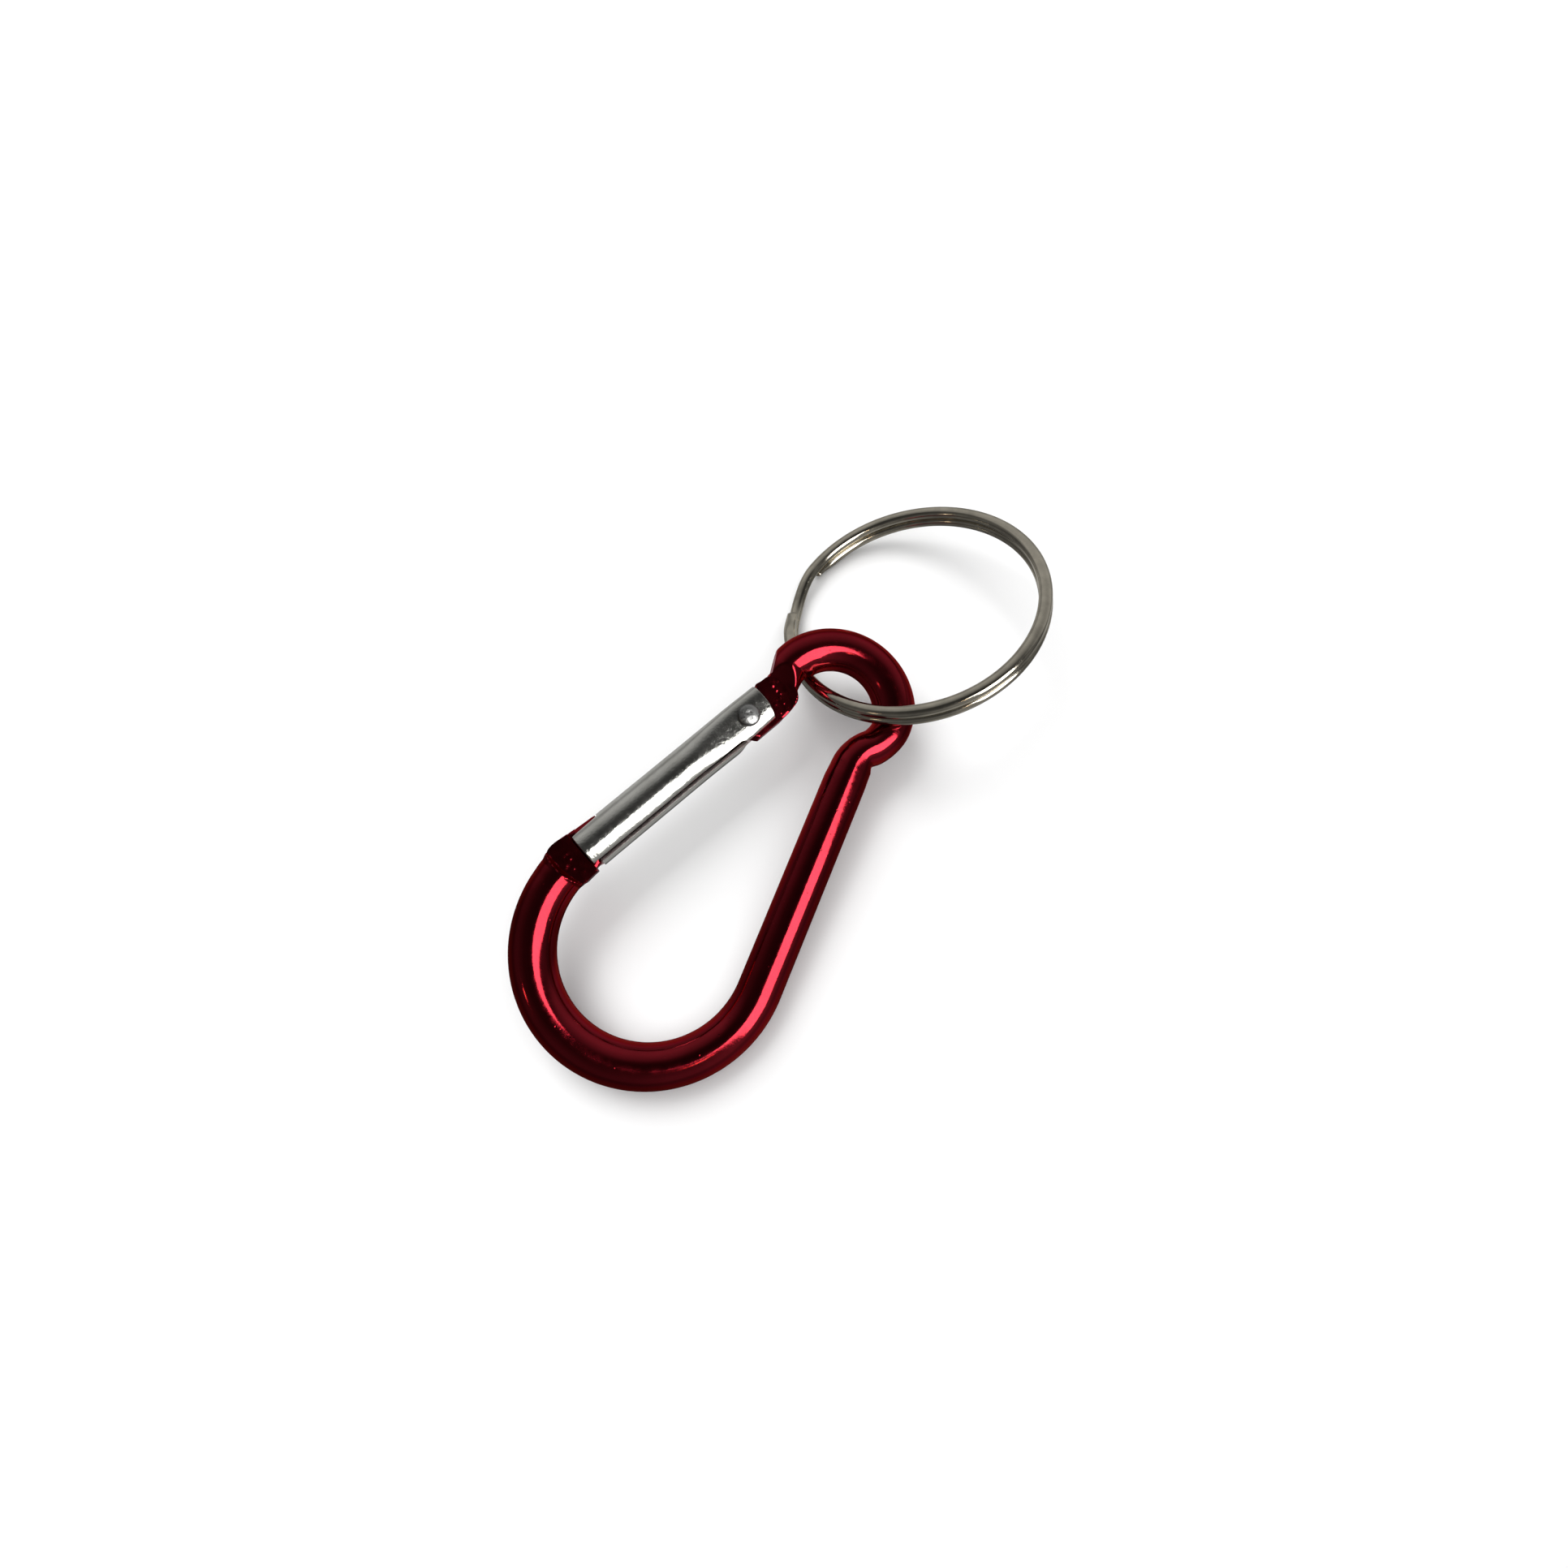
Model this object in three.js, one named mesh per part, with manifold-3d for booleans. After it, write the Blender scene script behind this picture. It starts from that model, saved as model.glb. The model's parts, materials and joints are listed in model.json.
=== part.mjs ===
// Carabiner keyring: a bent rod frame, a spring-loaded sheet-metal gate and a two-turn split ring.
// Millimetres. The carabiner is drawn flat, in the plane of its rod: x to the right, y from the big bend
// to the small eye, with the centre of the big bend at 0, 0. The last group lays it down as it rests.
import * as THREE from "three";
import { mergeVertices } from "three/addons/utils/BufferGeometryUtils.js";
import Module from "manifold-3d";

const wasm = await Module();
wasm.setup();
const DEG = Math.PI / 180;

// ---- driving dimensions ----
const ROD_R = 2; // radius of the rod
const BEND_R = 10.1; // centreline radius of the big bend
const EYE_R = 5.83; // centreline radius of the small eye
const EYE_Y = 26.85; // centre of the eye above the centre of the bend
const GATE_LEAN = 11.8 * DEG; // how far the gate leans from the long axis
const LIMB_LEAN = 14.9 * DEG; // how far the solid limb leans the other way
const KINK = [4.1, 24]; // where the limb turns out into the eye
const KINK_R = 2.4; // centreline radius of that sharp turn
const EYE_START = 25 * DEG; // where the eye's round part begins
const RIVET = [-5.86, 21.1]; // where the gate's rivet stands
const RIVET_R = 0.6; // shank of the rivet
const RIVET_HEAD_R = 1.02;
const RIVET_CLEARANCE = 0.06; // around the shank, in frame and gate
const FLAT = 1.2; // half thickness of the flattened hinge end
const WALL = 0.35; // sheet of the gate
const SEAM = 0.17; // half width of the gate's open seam
const SEAM_TURN = 41.5; // degrees the seam is turned up from the middle of the inner side
const GATE_TOP = 2.2; // gate's hinge end above the rivet
const GATE_END = -18.6; // gate's nose end below the rivet
const TANG_TIP = -16; // tip of the nose tang below the rivet
const HINGE_TIP = -1.6; // end of the flattened hinge end below the rivet
const PLUNGER_GAP = 0.12; // between plunger and hinge end with the gate shut
const PLUNGER_R = 1.22;
const SPRING_R = 0.92; // to the middle of its wire
const SPRING_END = -11; // where the seat pressed in from the gate's back holds it
const RING_R = 12.29; // centreline radius of the split ring
const RING_WIRE = [0.62, 0.49]; // half width and half height of its wire
const RING_PITCH = 1.03; // from one turn's middle to the next
const RING_JOG = 26 * DEG; // arc over which the wire climbs from one turn to the next
const RING_AT = [0.11, 39.99, -0.49]; // centre of the ring
const RING_TILT = [-2.9 * DEG, -34.6 * DEG, 206 * DEG]; // its tilt, and the place of its jog
const REST_TILT = [3.2 * DEG, 11.5 * DEG]; // it lies on its big bend and on the ring's low side

// ---- small tools ----
function solid(geometry) {
  const bare = geometry.clone();
  bare.deleteAttribute("normal");
  bare.deleteAttribute("uv");
  const merged = mergeVertices(bare, 1e-4);
  const vertProperties = merged.attributes.position.array;
  const triVerts = new Uint32Array(merged.index.array);
  return new wasm.Manifold(new wasm.Mesh({ numProp: 3, vertProperties, triVerts }));
}

function geometryOf(body) {
  const mesh = body.getMesh();
  const geometry = new THREE.BufferGeometry();
  geometry.setAttribute("position", new THREE.BufferAttribute(mesh.vertProperties, 3));
  geometry.setIndex(new THREE.BufferAttribute(mesh.triVerts, 1));
  const flat = geometry.toNonIndexed();
  flat.computeVertexNormals();
  return flat;
}

// A box between two corners.
function box(low, high) {
  const size = high.map((value, i) => value - low[i]);
  const geometry = new THREE.BoxGeometry(...size);
  geometry.translate(...low.map((value, i) => value + size[i] / 2));
  return solid(geometry);
}

// A round bar along z.
function bar(radius, zLow, zHigh, sides = 28) {
  const geometry = new THREE.CylinderGeometry(radius, radius, zHigh - zLow, sides);
  geometry.rotateX(Math.PI / 2);
  geometry.translate(0, 0, (zLow + zHigh) / 2);
  return solid(geometry);
}

// Smooth value at s from rows of [s, value, value...].
function blend(rows, s) {
  const last = rows[rows.length - 1];
  if (s <= rows[0][0]) return rows[0].slice(1);
  if (s >= last[0]) return last.slice(1);
  const k = rows.findIndex((row) => row[0] > s);
  const t = THREE.MathUtils.smoothstep(s, rows[k - 1][0], rows[k][0]);
  return rows[k].slice(1).map((value, i) => THREE.MathUtils.lerp(rows[k - 1][i + 1], value, t));
}

// A closed body through rounded sections. Each has a centre, the direction of its left side, its half
// widths to the left and right, its half height, and a power: 2 is an ellipse and more is squarer.
function loft(sections, sides) {
  const points = [];
  const faces = [];
  for (const { at, leftward, left, right, height, power } of sections)
    for (let i = 0; i < sides; i += 1) {
      const c = Math.cos((2 * Math.PI * i) / sides);
      const s = Math.sin((2 * Math.PI * i) / sides);
      const across = Math.sign(c) * Math.abs(c) ** (2 / power) * (c > 0 ? left : right);
      const up = Math.sign(s) * Math.abs(s) ** (2 / power) * height;
      points.push(at[0] + leftward[0] * across, at[1] + leftward[1] * across, up);
    }
  const last = sections.length - 1;
  for (const section of [sections[0], sections[last]]) points.push(...section.at, 0);
  for (let k = 0; k < last; k += 1)
    for (let i = 0; i < sides; i += 1) {
      const j = (i + 1) % sides;
      const [a, b, c, d] = [k * sides + i, k * sides + j, (k + 1) * sides + i, (k + 1) * sides + j];
      faces.push(a, c, b, b, c, d);
    }
  const first = sections.length * sides;
  for (let i = 0; i < sides; i += 1) {
    const j = (i + 1) % sides;
    faces.push(first, i, j, first + 1, last * sides + j, last * sides + i);
  }
  const geometry = new THREE.BufferGeometry();
  geometry.setAttribute("position", new THREE.Float32BufferAttribute(points, 3));
  geometry.setIndex(faces);
  const body = solid(geometry);
  return body.volume() > 0 ? body : flipped(geometry);
}

function flipped(geometry) {
  const index = geometry.index.array;
  for (let i = 0; i < index.length; i += 3) [index[i], index[i + 1]] = [index[i + 1], index[i]];
  return solid(geometry);
}

function part(name, geometry, color, roughness) {
  const material = new THREE.MeshStandardMaterial({ color, roughness, metalness: 1 });
  const mesh = new THREE.Mesh(geometry, material);
  mesh.name = name;
  return mesh;
}

// A point given from the rivet, x across the gate and y along it, in the carabiner's own plane.
function fromRivet(x, y) {
  const point = new THREE.Vector2(x, y).rotateAround(new THREE.Vector2(), -GATE_LEAN);
  return [RIVET[0] + point.x, RIVET[1] + point.y];
}

// ---- frame: one rod from the nose, round the big bend, up the limb and round the eye to the hinge ----
function rodPath() {
  const path = new THREE.Path();
  const along = [Math.sin(GATE_LEAN), Math.cos(GATE_LEAN)];
  const tangent = [-BEND_R * along[1], BEND_R * along[0]];
  const tip = fromRivet(0, TANG_TIP);
  const reach = (tip[0] - tangent[0]) * along[0] + (tip[1] - tangent[1]) * along[1];
  path.moveTo(tangent[0] + reach * along[0], tangent[1] + reach * along[1]);
  path.lineTo(...tangent);
  path.absarc(0, 0, BEND_R, Math.PI - GATE_LEAN, 2 * Math.PI + LIMB_LEAN, false);
  const turn = KINK_R * Math.tan(17 * DEG);
  path.lineTo(KINK[0] + turn * Math.sin(LIMB_LEAN), KINK[1] - turn * Math.cos(LIMB_LEAN));
  path.quadraticCurveTo(...KINK, KINK[0] + turn * 0.36, KINK[1] + turn * 0.93);
  path.quadraticCurveTo(5.73, 28.38, EYE_R * Math.cos(EYE_START), EYE_Y + EYE_R * Math.sin(EYE_START));
  path.absarc(0, EYE_Y, EYE_R, EYE_START, 172 * DEG, false);
  const flat = fromRivet(0, 3.4);
  path.bezierCurveTo(...fromRivet(-1.2, 5.6), ...fromRivet(-0.1, 4.9), ...flat);
  path.lineTo(...fromRivet(0, HINGE_TIP));
  return path;
}

// Rows of [distance from the end, inner half width, outer half width, half height, power].
const NOSE_END = [
  [0, 1.1, 1.75, 0.75, 2.6],
  [0.5, 1.2, 2.05, 0.9, 3],
  [2.72, 1.2, 2.1, 0.95, 3],
  [3.2, 2.05, 2.2, 1.25, 3.6],
  [4.4, 2.15, 2.25, 1.25, 3.6],
  [5.7, 2.02, 2.05, 1.8, 2.4],
  [6.9, ROD_R, ROD_R, ROD_R, 2],
];
const HINGE_END = [
  [0, 1.2, 0.1, FLAT - 0.15, 5],
  [0.5, 1.5, 0.95, FLAT, 5],
  [1.3, 2.15, 1.48, FLAT, 5],
  [3.85, 2.15, 1.5, FLAT, 5],
  [4.7, 2.05, 1.72, FLAT, 5],
  [5.5, 1.98, 1.75, FLAT, 4.5],
  [6.3, 1.5, 1.5, 1.4, 3],
  [7.9, 1.8, 1.85, 1.75, 2.3],
  [9.8, ROD_R, ROD_R, ROD_R, 2],
];

function rodSections(path, step) {
  const length = path.getLength();
  const count = Math.round(length / step);
  const sections = [];
  for (let k = 0; k <= count; k += 1) {
    const at = path.getPointAt(k / count);
    const ahead = path.getTangentAt(k / count);
    const s = (k / count) * length;
    const fromNose = s < length / 2;
    const [left, right, height, power] = fromNose ? blend(NOSE_END, s) : blend(HINGE_END, length - s);
    // Walking from the nose to the hinge, the inner side is always on the left.
    sections.push({ at: [at.x, at.y], leftward: [-ahead.y, ahead.x], left, right, height, power });
  }
  return sections;
}

function frameSolid() {
  const rod = loft(rodSections(rodPath(), 0.62), 20);
  const hole = bar(RIVET_R + RIVET_CLEARANCE, -3, 3).translate([RIVET[0], RIVET[1], 0]);
  return rod.subtract(hole);
}

// ---- gate, drawn from the rivet with y along it ----
// Rows of [y, outer side, inner side, half height, power].
const GATE_ROWS = [
  [GATE_END, -1.98, 1.95, 1.95, 2.1],
  [-4.3, -1.98, 1.95, 1.95, 2.1],
  [-2.1, -1.98, 2, FLAT + 0.08 + WALL, 3.4],
  [0, -1.97, 2.05, FLAT + 0.08 + WALL, 4],
  [GATE_TOP, -1.92, 1.9, FLAT + 0.08 + WALL, 4],
];

function gateSections(inset, lower, upper) {
  const sections = [];
  const count = 34;
  for (let k = 0; k <= count; k += 1) {
    const y = THREE.MathUtils.lerp(lower, upper, k / count);
    const [outer, inner, height, power] = blend(GATE_ROWS, y);
    const [left, right] = [-outer - inset, inner - inset];
    sections.push({ at: [0, y], leftward: [-1, 0], left, right, height: height - inset, power });
  }
  return sections;
}

function gateSolid() {
  const outside = loft(gateSections(0, GATE_END, GATE_TOP), 32);
  const bore = loft(gateSections(WALL, GATE_END - 1, GATE_TOP + 1), 32);
  const seam = box([0.9, GATE_END - 1, -SEAM], [4, 0, SEAM]).rotate([0, -SEAM_TURN, 0]);
  const hingeMouth = box([0.6, -1.5, -FLAT - 0.08], [4, 4, FLAT + 0.08]);
  const noseMouth = box([-4, GATE_END - 1, -3], [-1.4, TANG_TIP - 0.1, 3]);
  const noseSlot = box([-4, GATE_END - 1, -1.1], [-1.1, TANG_TIP + 0.4, 1.1]);
  const hole = bar(RIVET_R + RIVET_CLEARANCE, -3, 3);
  const seat = box([-1.8, SPRING_END - 0.4, -0.5], [-0.1, SPRING_END, 0.5]);
  const shell = outside.subtract(bore).subtract(seam).subtract(hingeMouth);
  return shell.subtract(noseMouth).subtract(noseSlot).subtract(hole).add(seat);
}

// ---- rivet, plunger and spring ----
function rivetGeometry() {
  const under = FLAT + 0.08 + WALL + 0.04;
  const top = under + 0.5;
  const half = [
    [RIVET_R, under],
    [RIVET_HEAD_R, under],
    [RIVET_HEAD_R, under + 0.14],
    [RIVET_HEAD_R * 0.86, under + 0.34],
    [RIVET_HEAD_R * 0.56, top],
    [0.24, top - 0.05],
    [0, top - 0.12],
  ];
  const profile = [...half.map(([r, z]) => [r, -z]).reverse(), ...half];
  const geometry = new THREE.LatheGeometry(profile.map(([r, z]) => new THREE.Vector2(r, z)), 32);
  return geometry.rotateX(Math.PI / 2);
}

const PLUNGER_TOP = HINGE_TIP - PLUNGER_GAP;
const SPRING_TOP = PLUNGER_TOP - 1.1;

function plungerGeometry() {
  const half = [
    [0, PLUNGER_TOP],
    [PLUNGER_R - 0.2, PLUNGER_TOP],
    [PLUNGER_R, PLUNGER_TOP - 0.2],
    [PLUNGER_R, SPRING_TOP + 0.1],
    [0.5, SPRING_TOP + 0.1],
    [0.45, SPRING_TOP - 2],
    [0, SPRING_TOP - 2],
  ];
  return new THREE.LatheGeometry(half.reverse().map(([r, y]) => new THREE.Vector2(r, y)), 24);
}

class Helix extends THREE.Curve {
  constructor(radius, low, high, turns) {
    super();
    Object.assign(this, { radius, low, high, turns });
  }

  getPoint(t) {
    const angle = 2 * Math.PI * this.turns * t;
    const y = THREE.MathUtils.lerp(this.low, this.high, t);
    return new THREE.Vector3(this.radius * Math.cos(angle), y, this.radius * Math.sin(angle));
  }
}

function springGeometry() {
  const wire = new THREE.Shape().absarc(0, 0, 0.17, 0, 2 * Math.PI);
  const extrudePath = new Helix(SPRING_R, SPRING_END + 0.25, SPRING_TOP - 0.25, 9);
  return new THREE.ExtrudeGeometry(wire, { extrudePath, steps: 126, curveSegments: 6 });
}

// ---- split ring: two flat turns of wire, climbing from one to the next over a short jog ----
function ringSolid() {
  const span = 4 * Math.PI - RING_JOG;
  const sides = 12;
  const count = 150;
  const rings = [];
  for (let k = 0; k <= count; k += 1) {
    const angle = (span * k) / count;
    const climb = THREE.MathUtils.smoothstep(angle, 2 * Math.PI - RING_JOG, 2 * Math.PI);
    const z = (0.5 - climb) * RING_PITCH;
    const ring = [];
    for (let i = 0; i < sides; i += 1) {
      const a = (2 * Math.PI * (i + 0.5)) / sides;
      const r = RING_R + RING_WIRE[0] * Math.cos(a);
      ring.push([r * Math.cos(angle), r * Math.sin(angle), z + RING_WIRE[1] * Math.sin(a)]);
    }
    rings.push(ring);
  }
  const points = rings.flat();
  const faces = [];
  for (let k = 0; k < count; k += 1)
    for (let i = 0; i < sides; i += 1) {
      const j = (i + 1) % sides;
      const [a, b, c, d] = [k * sides + i, k * sides + j, (k + 1) * sides + i, (k + 1) * sides + j];
      faces.push(a, c, b, b, c, d);
    }
  for (let i = 1; i < sides - 1; i += 1)
    faces.push(0, i, i + 1, count * sides, count * sides + i + 1, count * sides + i);
  const geometry = new THREE.BufferGeometry();
  geometry.setAttribute("position", new THREE.Float32BufferAttribute(points.flat(), 3));
  geometry.setIndex(faces);
  const body = solid(geometry);
  return body.volume() > 0 ? body : flipped(geometry);
}

// ---- assembly ----
const gateGroup = new THREE.Group();
gateGroup.position.set(RIVET[0], RIVET[1], 0);
gateGroup.rotation.z = -GATE_LEAN;
gateGroup.add(part("gate", geometryOf(gateSolid()), 0xb9b8ae, 0.25));
gateGroup.add(part("gate_plunger", plungerGeometry(), 0x9a9a96, 0.35));
gateGroup.add(part("gate_spring", springGeometry(), 0xa8a8a4, 0.3));

const rivet = part("hinge_rivet", rivetGeometry(), 0x8d8d8a, 0.35);
rivet.position.set(RIVET[0], RIVET[1], 0);

const ring = part("split_ring", geometryOf(ringSolid()), 0x8f8c80, 0.22);
ring.position.set(...RING_AT);
ring.rotation.set(...RING_TILT);

const keyring = new THREE.Group();
keyring.add(part("frame", geometryOf(frameSolid()), 0x8e0b1c, 0.25), gateGroup, rivet, ring);
keyring.rotation.set(REST_TILT[0], REST_TILT[1], 0);

// It lies on z = 0 with the middle of its bounding box over the origin.
const bounds = new THREE.Box3().setFromObject(keyring, true);
const middle = bounds.getCenter(new THREE.Vector3());
keyring.position.set(-middle.x, -middle.y, -bounds.min.z);

const root = new THREE.Group();
root.add(keyring);
export default root;
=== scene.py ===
import json
import math

import bmesh
import bpy
import numpy as np
from mathutils import Euler, Matrix, Vector


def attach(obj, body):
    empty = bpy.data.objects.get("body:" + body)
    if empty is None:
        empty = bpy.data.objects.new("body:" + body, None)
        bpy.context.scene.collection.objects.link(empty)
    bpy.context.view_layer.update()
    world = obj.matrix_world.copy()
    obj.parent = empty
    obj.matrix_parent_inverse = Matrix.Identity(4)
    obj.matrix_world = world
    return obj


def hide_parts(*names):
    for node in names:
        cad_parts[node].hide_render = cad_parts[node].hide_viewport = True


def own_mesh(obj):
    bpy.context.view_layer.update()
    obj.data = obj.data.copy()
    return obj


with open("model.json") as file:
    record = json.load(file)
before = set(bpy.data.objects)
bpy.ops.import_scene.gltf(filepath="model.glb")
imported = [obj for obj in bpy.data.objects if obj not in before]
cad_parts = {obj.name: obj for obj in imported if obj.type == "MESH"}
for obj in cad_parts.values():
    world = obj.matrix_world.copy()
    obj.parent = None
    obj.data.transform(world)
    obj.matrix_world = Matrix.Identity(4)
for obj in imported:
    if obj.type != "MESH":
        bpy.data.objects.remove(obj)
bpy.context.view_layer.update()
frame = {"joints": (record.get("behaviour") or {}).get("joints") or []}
DEG = math.pi / 180
MM = 0.001

# ---- camera, over the keyring and turned so that it lies across the picture ----
camera = bpy.data.objects.new("camera", bpy.data.cameras.new("camera"))
bpy.context.scene.collection.objects.link(camera)
bpy.context.scene.camera = camera
camera.location = (10.655 * MM, -19.283 * MM, 73.687 * MM)
camera.rotation_euler = Euler((16.232 * DEG, -1.761 * DEG, 36.546 * DEG))
camera.data.sensor_width = 36
camera.data.lens = 17.979
camera.data.clip_start = 0.002

# ---- driving dimensions, the same as the part's ----
ROD_R = 2.0
BEND_R = 10.1
EYE_R = 5.83
EYE_Y = 26.85
GATE_LEAN = 11.8 * DEG
LIMB_LEAN = 14.9 * DEG
EYE_START = 25 * DEG
RIVET = (-5.86, 21.1)
RIVET_R = 0.6
RIVET_HEAD_R = 1.02
FLAT = 1.2
WALL = 0.35
SEAM = 0.17
SEAM_TURN = 41.5 * DEG
GATE_TOP = 2.2
GATE_END = -18.6
TANG_TIP = -16.0
HINGE_TIP = -1.6
PLUNGER_GAP = 0.12
PLUNGER_TOP = HINGE_TIP - PLUNGER_GAP
PLUNGER_R = 1.22
SPRING_R = 0.92
SPRING_WIRE = 0.17
SPRING_TOP = PLUNGER_TOP - 1.1
SPRING_END = -11.0
RING_R = 12.29
RING_WIRE = (0.62, 0.49)
RING_PITCH = 1.03
RING_JOG = 26 * DEG
RING_AT = (0.11, 39.99, -0.49)
RING_TILT = (-2.9 * DEG, -34.6 * DEG, 206 * DEG)

# ---- dimensions of the looks alone ----
LIMB_END = (4.5, 23.35)  # where the limb starts to turn into the kink
KINK = (4.1, 24.85)  # a little further along the limb than in the part
KINK_END = (4.92, 26.2)
KINK_TO_EYE = ((5.33, 26.9), (5.68, 28.45))  # controls of the curve from the kink to the eye
EYE_STOP = 172 * DEG
NECK = ((-1.2, 5.6), (-0.1, 4.9), (0, 3.4))  # from the rivet, controls of the curve from the eye to the gate
FACET = ((-2.98, 6.12), (-1.66, 4.3))  # from the rivet, both ends of the facet on the outside of the neck
FINE_TO = (8, 12)  # from the nose and from the hinge end, how far the rod's sections lie close together
PRESSED_TO = (9, 12)  # from the nose and from the hinge end, how far the press can have left its marks
PRESS_EDGE = 0.06  # rounding where the pressed flats meet the rod
EDGE_ROUND = 0.06  # bevel on sharp edges
CHEEK = FLAT + 0.08 + WALL  # from the middle of the rivet to the gate's outer face
HEAD_HEIGHT = 0.52
HEAD_MIDDLE = 1.9  # from the middle of the rivet to about half way up its head
SEAT_SIZE = (1.66, 0.32, 1.0)
SEAT_AT = (-0.95, SPRING_END - 0.2, 0)

# ---- places: the carabiner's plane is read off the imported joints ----
joints = {joint["name"]: joint for joint in frame["joints"]}
PLANE_UP = Vector(joints["gate_hinge"]["axis"]).normalized()
PLANE_LONG = -Vector(joints["ring_swing"]["axis"]).normalized()
PLANE_RIGHT = PLANE_LONG.cross(PLANE_UP).normalized()
PLANE = np.array([PLANE_RIGHT, PLANE_LONG, PLANE_UP])
RIVET_AT = np.array(joints["gate_hinge"]["pos_m"])


def to_row(points):
    """Points of the carabiner's plane, in millimetres, to the row frame, in metres."""
    local = np.asarray(points, float) - np.array([*RIVET, 0.0])
    return RIVET_AT + local @ PLANE * MM


def from_rivet(points):
    """Points given from the rivet, x across the gate and y along it, to the carabiner's plane."""
    points = np.asarray(points, float)
    turned = points.copy()
    c, s = math.cos(GATE_LEAN), math.sin(GATE_LEAN)
    turned[..., 0] = RIVET[0] + c * points[..., 0] + s * points[..., 1]
    turned[..., 1] = RIVET[1] - s * points[..., 0] + c * points[..., 1]
    return turned


def seen_from_rivet(x, y):
    """The same turn the other way: x and y of the carabiner's plane, as seen from the rivet."""
    c, s = math.cos(GATE_LEAN), math.sin(GATE_LEAN)
    dx, dy = x - RIVET[0], y - RIVET[1]
    return c * dx - s * dy, s * dx + c * dy


# ---- mesh tools ----
def smoothstep(t):
    t = np.clip(t, 0, 1)
    return t * t * (3 - 2 * t)


def blend(rows, s):
    """Smooth values at each s from rows of (s, value, value...), one column for each value."""
    rows = np.array(rows, float)
    k = np.clip(np.searchsorted(rows[:, 0], s, side="right"), 1, len(rows) - 1)
    t = smoothstep((s - rows[k - 1, 0]) / (rows[k, 0] - rows[k - 1, 0]))
    low, high = rows[k - 1, 1:], rows[k, 1:]
    return np.moveaxis(low + (high - low) * np.asarray(t)[..., None], -1, 0)


def soft_min(a, b, radius):
    """The smaller of a and b, rounded over where they meet."""
    h = np.clip(0.5 + 0.5 * (b - a) / radius, 0, 1)
    return b + (a - b) * h - radius * h * (1 - h)


def rounded(angle, left, right, height, power):
    """A rounded section: how far it reaches across and up in each direction. More power is squarer."""
    c, s = np.cos(angle), np.sin(angle)
    side = np.where(c > 0, right, left)
    reach = ((np.abs(c) / side) ** power + (np.abs(s) / height) ** power) ** (-1 / power)
    return c * reach, s * reach


def piece(name, points, faces, body, material, covers=()):
    """A smooth mesh of points in the row frame that rides on a body and takes a slot's finish."""
    mesh = bpy.data.meshes.new(name)
    mesh.from_pydata([tuple(p) for p in points], [], [tuple(f) for f in faces])
    made = bmesh.new()
    made.from_mesh(mesh)
    bmesh.ops.recalc_face_normals(made, faces=made.faces)
    made.to_mesh(mesh)
    made.free()
    mesh.shade_smooth()
    mesh.materials.append(material)
    obj = bpy.data.objects.new(name, mesh)
    bpy.context.scene.collection.objects.link(obj)
    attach(obj, body)
    if covers:
        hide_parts(*covers)
    return obj


def tube_faces(rings, sides, closed_ends=True):
    """Quads between rings of points, and a fan's end face on the first and the last ring."""
    k, i = np.meshgrid(np.arange(rings - 1), np.arange(sides), indexing="ij")
    j = (i + 1) % sides
    quads = np.stack([k * sides + i, k * sides + j, (k + 1) * sides + j, (k + 1) * sides + i], -1)
    faces = [tuple(q) for q in quads.reshape(-1, 4)]
    if closed_ends:
        faces.append(tuple(range(sides)))
        faces.append(tuple(range((rings - 1) * sides, rings * sides)))
    return faces


def lathe(profile, sides):
    """Points and faces of (radius, height) pairs turned about z. The profile starts and ends on the axis."""
    profile = np.array(profile, float)
    angle = np.arange(sides) * 2 * math.pi / sides
    r, h = profile[1:-1, 0, None], profile[1:-1, 1, None]
    rings = np.stack([r * np.cos(angle), r * np.sin(angle), h + 0 * angle], -1)
    points = np.concatenate([rings.reshape(-1, 3), [[0, 0, profile[0, 1]], [0, 0, profile[-1, 1]]]])
    count = len(profile) - 2
    faces = tube_faces(count, sides, closed_ends=False)
    low, high = count * sides, count * sides + 1
    for i in range(sides):
        j = (i + 1) % sides
        faces.append((low, j, i))
        faces.append((high, (count - 1) * sides + i, (count - 1) * sides + j))
    return points, faces


def with_modifier(obj, kind, **settings):
    """Adds a modifier and applies it to the mesh."""
    modifier = obj.modifiers.new(kind.lower(), kind)
    for key, value in settings.items():
        setattr(modifier, key, value)
    depsgraph = bpy.context.evaluated_depsgraph_get()
    mesh = bpy.data.meshes.new_from_object(obj.evaluated_get(depsgraph))
    obj.modifiers.clear()
    obj.data = mesh


def round_edges(obj, turn):
    """Bevels each edge where the surface turns by more than that angle, and shades the rest smooth."""
    with_modifier(obj, "BEVEL", width=EDGE_ROUND * MM, segments=3, limit_method="ANGLE", angle_limit=turn)
    obj.data.shade_smooth()


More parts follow.
